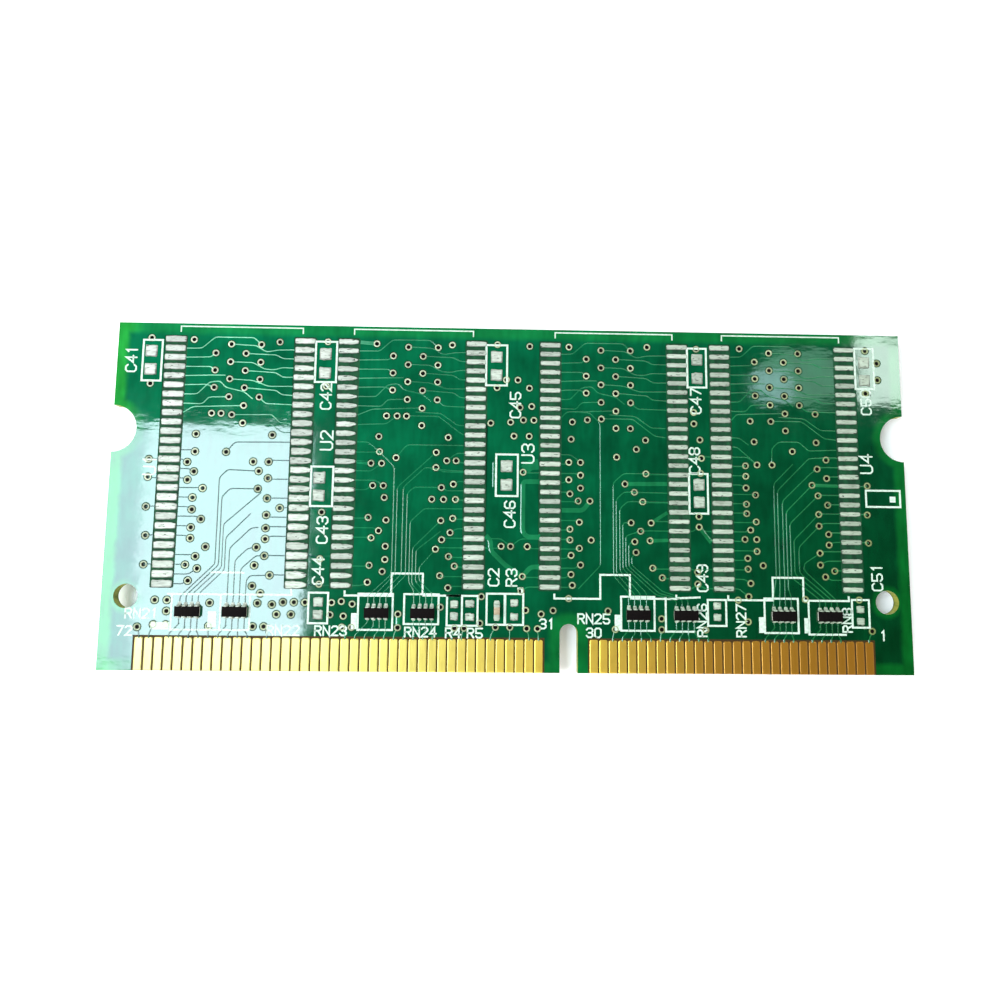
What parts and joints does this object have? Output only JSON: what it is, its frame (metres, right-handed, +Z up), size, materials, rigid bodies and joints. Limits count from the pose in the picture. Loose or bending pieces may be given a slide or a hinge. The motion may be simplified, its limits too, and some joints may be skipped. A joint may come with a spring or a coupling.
{
  "type": "ram module",
  "caption": "Small-outline memory board with gold edge contacts, memory chips on its front and spare chip places, resistor arrays and a capacitor on its back.",
  "frame": {"origin": "middle of the footprint at the chips' resting faces, with the board lying flat, chips underneath", "axes": "+X along the contact edge to the right seen from the back, +Y away from the contact edge, +Z up out of the board's back face"},
  "size_m": [0.0676, 0.0292, 0.0027],
  "materials": {
    "laminate": "satin",
    "mask_green": "gloss",
    "copper": "satin",
    "gold": "gloss",
    "tin": "satin",
    "mould_black": "matte",
    "lead_metal": "satin",
    "silicon": "polished",
    "array_black": "satin",
    "ceramic_tan": "satin"
  },
  "bodies": {
    "root": {"capacitor_back": "ceramic_tan", "capacitor_front_1": "ceramic_tan", "capacitor_front_2": "ceramic_tan", "capacitor_front_3": "ceramic_tan", "capacitor_front_4": "ceramic_tan", "capacitor_front_5": "ceramic_tan", "capacitor_front_6": "ceramic_tan", "contacts_back_long": "gold", "contacts_back_short": "gold", "contacts_front_long": "gold", "contacts_front_short": "gold", "eeprom_base": "mould_black", "eeprom_cover": "mould_black", "eeprom_die": "silicon", "eeprom_leadframe": "lead_metal", "ground_plane": "copper", "laminate_core": "laminate", "memory_chip_1_base": "mould_black", "memory_chip_1_cover": "mould_black", "memory_chip_1_die": "silicon", "memory_chip_1_leadframe": "lead_metal", "memory_chip_2_base": "mould_black", "memory_chip_2_cover": "mould_black", "memory_chip_2_die": "silicon", "memory_chip_2_leadframe": "lead_metal", "memory_chip_3_base": "mould_black", "memory_chip_3_cover": "mould_black", "memory_chip_3_die": "silicon", "memory_chip_3_leadframe": "lead_metal", "memory_chip_4_base": "mould_black", "memory_chip_4_cover": "mould_black", "memory_chip_4_die": "silicon", "memory_chip_4_leadframe": "lead_metal", "power_plane": "copper", "prepreg_back": "laminate", "prepreg_front": "laminate", "resistor_array_back_1": "array_black", "resistor_array_back_2": "array_black", "resistor_array_back_3": "array_black", "resistor_array_back_4": "array_black", "resistor_array_back_5": "array_black", "resistor_array_back_6": "array_black", "resistor_array_back_7": "array_black", "resistor_array_back_8": "array_black", "resistor_array_front_1": "array_black", "resistor_array_front_2": "array_black", "resistor_array_front_3": "array_black", "resistor_array_front_4": "array_black", "resistor_array_front_5": "array_black", "resistor_array_front_6": "array_black", "resistor_array_front_7": "array_black", "resistor_array_front_8": "array_black", "solder_mask_back": "mask_green", "solder_mask_front": "mask_green", "spare_chip_pads_1": "tin", "spare_chip_pads_2": "tin", "spare_chip_pads_3": "tin", "spare_chip_pads_4": "tin"}
  },
  "joints": []
}
